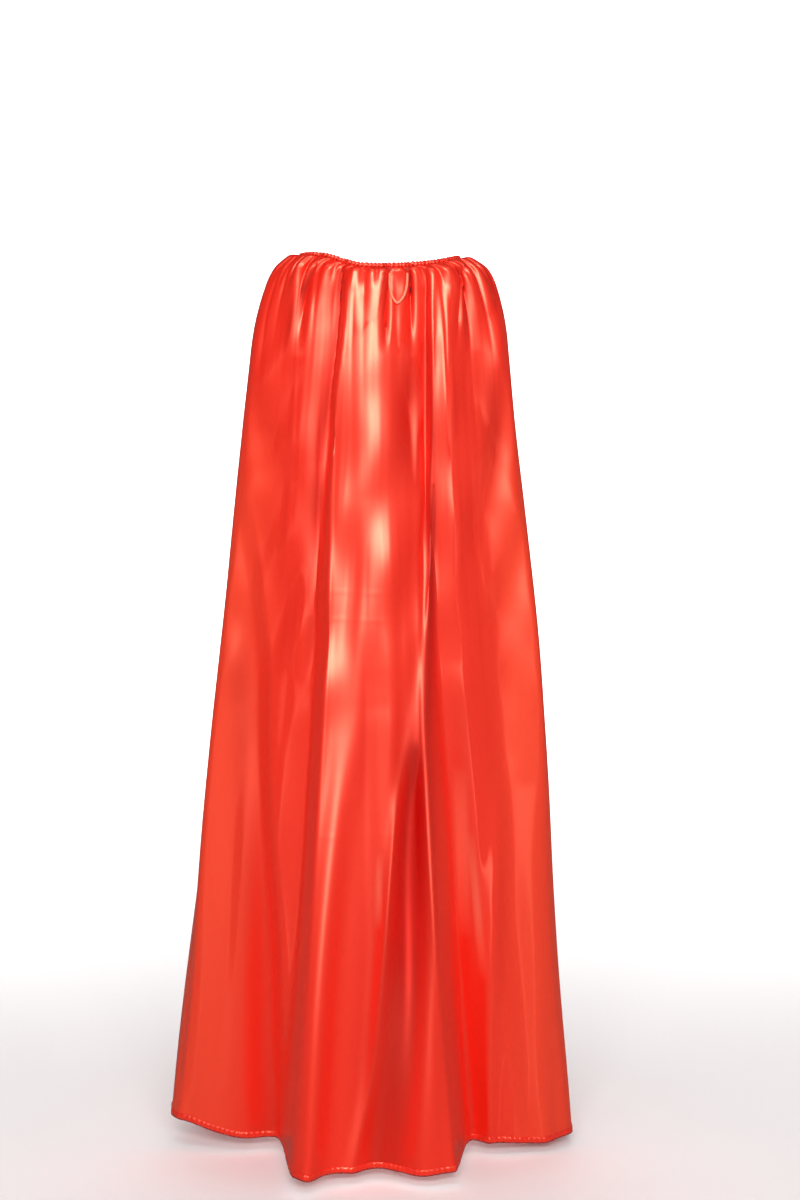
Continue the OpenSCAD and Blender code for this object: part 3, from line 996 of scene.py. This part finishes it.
# The cord's route outside the casing, as the frame's solids have it.
LEAD = [(0.0075, -0.095, -0.048), (0.017, -0.093, -0.044), (0.026, -0.088, -0.0385)]
BOW_LOOP = [(0.0075, -0.098, -0.049), (0.020, -0.102, -0.042), (0.036, -0.104, -0.041),
            (0.048, -0.104, -0.050), (0.046, -0.103, -0.060), (0.034, -0.102, -0.061),
            (0.020, -0.101, -0.056), (0.0075, -0.099, -0.0525)]
TAIL = [(0.0035, -0.099, -0.056), (0.007, -0.103, -0.070), (0.013, -0.107, -0.095), (0.018, -0.110, -0.130),
        (0.021, -0.112, -0.170), (0.020, -0.113, -0.210), (0.022, -0.114, -0.236)]
TAIL_DROP = 0.006
CORD_STEP = 0.0012
LOOP_ROUTE = [(0.012, 0.0, 0.0), (0.0125, 0.0015, -0.012), (0.0115, 0.003, -0.024),
              (0.008, 0.0045, -0.036), (0.001, 0.0055, -0.044), (-0.006, 0.0048, -0.038),
              (-0.011, 0.0035, -0.028), (-0.0135, 0.002, -0.014), (-0.014, 0.0, 0.0)]


# A bar tack's thread across the loop: how far along it, and how far off the casing.
TACK_SECTION = ((-0.0023, 0.0004), (0.0, 0.0014), (0.0023, 0.0004))


def mirrored(points, side):
    return [(side * x, y, z) for x, y, z in points]


def braided(path, diameter, up, sides=16, plies=3, pitch=0.011, depth=0.10):
    """A satin cord: a tube whose section carries twisted plies."""
    reach = reach_along(path)
    turn = turns(sides)
    wave = np.abs(np.cos(0.5 * plies * (turn[None, :] - 2.0 * math.pi * reach[:, None] / pitch)))
    return tube_data(path, diameter * 0.5 * (1.0 - depth + depth * wave), up, sides)


class CAPE_OT_cords(bpy.types.Operator):
    """The drawstring, its bow at the throat and the two knotted tails."""

    bl_idname = "cape.cords"
    bl_label = "Cords and bow"

    def execute(self, context):
        p = context.scene.cape_cloth
        d = p.cord
        inside = cord_line(np.linspace(-2.0, 2.0, 97))
        route = np.vstack([mirrored(LEAD, -1), inside, mirrored(LEAD, 1)[::-1]])
        self.strand("drawstring", smooth_path(route, CORD_STEP), (0, 0, 1), "neck_cord")
        self.knot("bow_wrap", (0.0, -0.096, -0.050), (0.0072, 0.0056, 0.0062), "bow_knot", d)
        for side, word in ((1, "left"), (-1, "right")):
            loop_path = smooth_path(mirrored(BOW_LOOP, side), CORD_STEP)
            loop = self.strand(f"bow_ear_{word}", loop_path, (0, 1, 0), f"bow_loop_{word}")
            points = mirrored(TAIL, side)
            points[-1] = (points[-1][0], points[-1][1], points[-1][2] - side * TAIL_DROP)
            tail_path = smooth_path(points, CORD_STEP)
            tail = self.strand(f"cord_tail_{word}", tail_path, (0, 1, 0), f"tie_tail_{word}")
            end = tail_path[-1] - np.array([0.0, 0.0, 0.004])
            knot = self.knot(f"end_knot_{word}", tuple(end), (0.0039, 0.0039, 0.0044), f"tail_knot_{word}", d)
        return {"FINISHED"}

    def strand(self, name, path, up, node):
        """A stretch of the cord, in place of its node."""
        verts, faces = braided(path, bpy.context.scene.cape_cloth.cord, up)
        return dress(new_object(name, verts, faces, material("tie_cord_satin")), "back", "tie_cord", node)

    def knot(self, name, centre, size, node, cord):
        """A closed overhand knot: three turns of the same cord wrapped over each other."""
        t = np.linspace(0.0, 2.0 * math.pi, 96, endpoint=False)
        centre = np.asarray(centre, float)
        size = np.asarray(size, float) - cord * 0.5
        x = np.sin(t) + 2.0 * np.sin(2.0 * t)
        y = np.cos(t) - 2.0 * np.cos(2.0 * t)
        z = -np.sin(3.0 * t)
        line = np.stack([x / 3.0 * size[0], z * size[1], y / 3.0 * size[2]], axis=-1) + centre
        line = np.vstack([line, line[:1]])
        half = (0, 0, size[2] * 0.6)
        radii = [cord * 0.6, cord * 0.9, cord * 0.6]
        core = tube_data([centre + half, centre, centre - half], radii, (0, 1, 0), 14)
        verts, faces = join_data([braided(line, cord, (0.1, 0.2, 1.0), 14), core])
        return dress(new_object(name, verts, faces, material("tie_cord_satin")), "back", "tie_cord", node)


class CAPE_OT_cloth(bpy.types.Operator):
    """The satin: the back with its gathered head, and the two fronts."""

    bl_idname = "cape.cloth"
    bl_label = "Satin"

    def execute(self, context):
        p = context.scene.cape_cloth
        us, ds = cloth_grid()
        u, d = np.meshgrid(us, ds, indexing="ij")
        points = cloth_point(u, d)
        points = settle(points, ds, us)
        cloth["points"], cloth["drops"], cloth["us"] = points, ds, us
        cloth["normals"] = grid_normals(points)
        face, back = material("red_satin"), material("satin_wrong_side")
        for kind, name, nodes in (
            ("back", "satin_back", ("gathered_head", "back_panel")),
            ("left", "satin_left_front", ("left_front_panel",)),
            ("right", "satin_right_front", ("right_front_panel",)),
        ):
            piece = points[columns(kind)]
            obj = two_faced_sheet(name, piece, p.thickness, face, back)
            tone_cloth(obj, piece, u[columns(kind)], d[columns(kind)])
            cloth[kind] = dress(obj, kind, "satin", *nodes)
        return {"FINISHED"}


FACING_WIDTH = 0.009
STITCH_LENGTH, STITCH_LIFT = 0.0026, 0.0011


def hem_rows(kind, height):
    """Bottom edge of a stretch of cloth, and the line a hem's height above it, with outward normals."""
    points = cloth["points"][columns(kind)]
    normals = cloth["normals"][columns(kind)]
    low = points[:, -1]
    step = np.linalg.norm(points[:, -1] - points[:, -2], axis=1)
    k = np.clip(height / step, 0.0, 1.0)[:, None]
    return low, low + (points[:, -2] - low) * k, normals[:, -1]


def finer(rows, times):
    """More points between neighbours, by straight interpolation."""
    rows = np.asarray(rows, float)
    at = np.linspace(0.0, len(rows) - 1.0, (len(rows) - 1) * times + 1)
    return sampled(at, np.arange(len(rows)), rows)


def folded_edge(low, high, out, seed):
    """A turned edge: cloth folded round its raw edge, slightly puckered between the stitches."""
    rng = np.random.default_rng(seed)
    m = len(low)
    reach = reach_along(low)
    pucker = 0.00035 * np.sin(reach * 2.0 * math.pi / 0.0085 + 1.6 * np.sin(reach * 37.0))
    pucker = pucker + 0.0002 * np.interp(reach, np.linspace(0, reach[-1], 60), rng.normal(size=60))
    section = ((0.0, 0.0004), (0.10, 0.0010), (0.45, 0.0012), (0.80, 0.0011), (0.97, 0.0008), (1.03, 0.0),
               (0.97, -0.0008), (0.70, -0.0011), (0.30, -0.0011), (0.05, -0.0007), (0.0, -0.0004))
    rows = []
    for share, lift in section:
        swell = pucker * (1.0 if abs(lift) > 0.0005 else 0.2)
        rows.append(high + (low - high) * share + out * (lift + swell)[:, None])
    grid = np.stack(rows, axis=1)
    verts = grid.reshape(-1, 3)
    n = len(section)
    faces = [tuple(f) for f in quad_faces(m, n).tolist()]
    faces += [(i * n, i * n + n - 1, (i + 1) * n + n - 1, (i + 1) * n) for i in range(m - 1)]
    faces += [tuple(range(n)), tuple((m - 1) * n + k for k in range(n - 1, -1, -1))]
    return verts, faces


class CAPE_OT_hems(bpy.types.Operator):
    """Turned hems, front facings, overlocked edge and their stitching."""

    bl_idname = "cape.hems"
    bl_label = "Hems"

    def execute(self, context):
        p = context.scene.cape_cloth
        with_cloth = {"back": [], "left": [], "right": []}
        for kind, node in (("back", "back_hem"), ("left", "left_front_hem"), ("right", "right_front_hem")):
            low, high, out = (finer(r, 4) for r in hem_rows(kind, p.hem_height))
            hem = new_object(f"turned_hem_{kind}", *folded_edge(low, high, out, 3), material("red_satin"))
            dress(hem, kind, "hem_edge", node)
            edge = dress(self.overlock(f"hem_thread_{kind}", low, out), kind, "hem_edge")
            row = self.seam(f"hem_stitches_{kind}", kind, low, high, out, 0.12, 0.0012)
            with_cloth[kind] += [hem, edge, row]
        for kind, column in (("left", -1), ("right", 0)):
            points = cloth["points"][columns(kind)]
            normals = cloth["normals"][columns(kind)]
            low, out = points[column], normals[column]
            towards = points[column + (-2 if kind == "left" else 2)] - low
            towards /= np.linalg.norm(towards, axis=1, keepdims=True)
            high = low + towards * FACING_WIDTH
            low, high, out = finer(low, 3), finer(high, 3), finer(out, 3)
            if kind == "right":
                low, high, out = low[::-1], high[::-1], out[::-1]
            edge = folded_edge(low, high, out, 5)
            facing = new_object(f"turned_facing_{kind}", *edge, material("red_satin"))
            dress(facing, kind, "satin", f"{kind}_edge_facing")
            row = self.seam(f"facing_stitches_{kind}", kind, low, high, out, 0.14, 0.0014)
            with_cloth[kind] += [facing, row]
        cloth["trim"] = with_cloth
        return {"FINISHED"}

    def seam(self, name, kind, low, high, out, inset, gap):
        """Stitches a share of the way in from the turned edge's inner line."""
        line = high + (low - high) * inset + out * STITCH_LIFT
        return dress(stitches(name, line, out, STITCH_LENGTH, gap), kind, "hem_edge")

    def overlock(self, name, low, out):
        """Dark thread bound over the folded edge."""
        fine = finer(np.hstack([low, out]), 2)
        line = fine[:, :3]
        reach = reach_along(line)
        sides = 8
        turn = turns(sides)
        wrap = 0.00130 + 0.00022 * np.cos(turn[None, :] - 2.0 * math.pi * reach[:, None] / 0.0024)
        return new_object(name, *tube_data(line, wrap, (0, 0, 1), sides), material("edge_thread"))


class CAPE_OT_casing(bpy.types.Operator):
    """The ruched drawstring casing and the stitching under it."""

    bl_idname = "cape.casing"
    bl_label = "Casing"

    def execute(self, context):
        us = np.linspace(-2.0, 2.0, 700)
        slim = 1.0 - CASING_SLIM * sideways(us)
        line = cord_line(us)
        reach = reach_along(line)
        sides = 20
        turn = turns(sides)
        rng = np.random.default_rng(8)
        sway = np.interp(reach, np.linspace(0, reach[-1], 90), rng.normal(size=90))
        phase = 2.0 * math.pi * reach / RUCHE_PITCH + sway * 0.9
        ruche = 0.00095 * np.sin(phase[:, None] + 1.9 * np.sin(turn[None, :] + 0.6))
        ruche = ruche + 0.00035 * np.sin(2.3 * phase[:, None] - 2.0 * turn[None, :])
        radius = (CASING_RADIUS + ruche) * slim[:, None]
        verts, faces = tube_data(line, radius, (0, 0, 1), sides, closed_ends=False)
        verts = self.slimmed(verts.reshape(len(us), sides, 3), line, CASING_PRESS * (1.0 - sideways(us)))
        inner, inner_faces = tube_data(line, CASING_BORE, (0, 0, 1), sides, closed_ends=False)
        start = len(verts)
        faces = faces + [tuple(start + k for k in f[::-1]) for f in inner_faces]
        last = (len(us) - 1) * sides
        for k in range(sides):
            b = (k + 1) % sides
            faces.append((k, start + k, start + b, b))
            faces.append((last + k, last + b, start + last + b, start + last + k))
        casing = new_object("ruched_casing", np.vstack([verts, inner]), faces, material("red_satin"))
        # Painted shade in the ruche's hollows and inside the casing's bore.
        mark(casing, "painted_fold_shade", np.concatenate([ease(-ruche / 0.0012).reshape(-1), np.ones(len(inner))]))
        dress(casing, "back", "satin", "neck_casing")
        x, y = level_normal(us, np.zeros_like(us))
        out = np.stack([x, y, np.zeros_like(x)], axis=-1)
        seam = ring_path(us, 0.0007) + out * 0.0022
        dress(stitches("casing_stitches", seam, out, 0.0022, 0.0014), "back", "satin")
        return {"FINISHED"}

    def slimmed(self, rings, line, share):
        """Presses the round section to the casing's width across the neck."""
        offset = rings - line[:, None, :]
        level = offset.copy()
        level[..., 2] = 0.0
        return (line[:, None, :] + offset - level * share[:, None, None]).reshape(-1, 3)


class CAPE_OT_hang_loop(bpy.types.Operator):
    """The satin piping loop at the nape and its bar tacks."""

    bl_idname = "cape.hang_loop"
    bl_label = "Hang loop"

    def execute(self, context):
        p = context.scene.cape_cloth
        path = smooth_path([tuple(np.add(LOOP_AT, q)) for q in LOOP_ROUTE], 0.001)
        piping = braided(path, p.piping, (0, 1, 0), 16, 2, 0.03, 0.08)
        loop = new_object("hang_loop_piping", *piping, material("loop_piping"))
        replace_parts(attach(loop, LOOP), "hang_loop")
        low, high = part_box("loop_tacks")
        middle = (low + high) / 2
        parts = []
        for x in (low.x + 0.0025, high.x - 0.0025):
            for k in range(7):
                z = middle.z - 0.0018 + k * 0.0006
                bar = [(x + side, middle.y + lift, z) for side, lift in TACK_SECTION]
                parts.append(tube_data(smooth_path(bar, 0.0008), 0.00042, (0, 0, 1), 8))
        tacks = new_object("bar_tacks", *join_data(parts), material("seam_thread"))
        dress(tacks, "back", "hem_edge", "loop_tacks")
        return {"FINISHED"}


class CAPE_OT_label(bpy.types.Operator):
    """The blank woven label inside the nape."""

    bl_idname = "cape.label"
    bl_label = "Label"

    def execute(self, context):
        low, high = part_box("care_label")
        x = np.linspace(low.x, high.x, 15)
        z = np.linspace(high.z, low.z, 25)
        gx, gz = np.meshgrid(x, z, indexing="ij")
        across, down = (gx - low.x) / (high.x - low.x), (gz - high.z) / (low.z - high.z)
        curl = 0.0012 * down**2 * np.cos(across * math.pi)
        grid = np.stack([gx, (low.y + high.y) / 2 - curl, gz], axis=-1)
        label = two_faced_sheet("blank_label", grid, 0.0006, material("label_tape"), material("label_tape"))
        dress(label, "back", "label_tape", "care_label")
        return {"FINISHED"}


class CAPE_OT_declare(bpy.types.Operator):
    """Does nothing; it states no flat sizes."""

    bl_idname = "cape.declare"
    bl_label = "Declare the cloth"

    def execute(self, context):
        return {"FINISHED"}


class CAPE_PT_panel(bpy.types.Panel):
    """Lists the cape's steps."""

    bl_label = "Satin cape"
    bl_space_type = "VIEW_3D"
    bl_region_type = "UI"
    bl_category = "Cape"

    def draw(self, context):
        for group in (context.scene.cape_cloth, context.scene.cape_colours, context.scene.cape_stage):
            for name in group.bl_rna.properties.keys():
                if name not in {"rna_type", "name"}:
                    self.layout.prop(group, name)
        for step in STEPS:
            self.layout.operator(step.bl_idname)


STEPS = (
    CAPE_OT_stage, CAPE_OT_cords, CAPE_OT_cloth, CAPE_OT_hems, CAPE_OT_casing, CAPE_OT_hang_loop,
    CAPE_OT_label, CAPE_OT_declare,
)
GROUPS = {"cape_cloth": CapeCloth, "cape_colours": CapeColours, "cape_stage": CapeStage}


def register():
    for name, group in GROUPS.items():
        bpy.utils.register_class(group)
        setattr(bpy.types.Scene, name, bpy.props.PointerProperty(type=group))
    for cls in STEPS + (CAPE_PT_panel,):
        bpy.utils.register_class(cls)


def unregister():
    for cls in (CAPE_PT_panel,) + STEPS[::-1]:
        bpy.utils.unregister_class(cls)
    for name, group in GROUPS.items():
        delattr(bpy.types.Scene, name)
        bpy.utils.unregister_class(group)


def main():
    register()
    for step in STEPS:
        area, name = step.bl_idname.split(".")
        getattr(getattr(bpy.ops, area), name)()


if __name__ == "__main__":
    main()
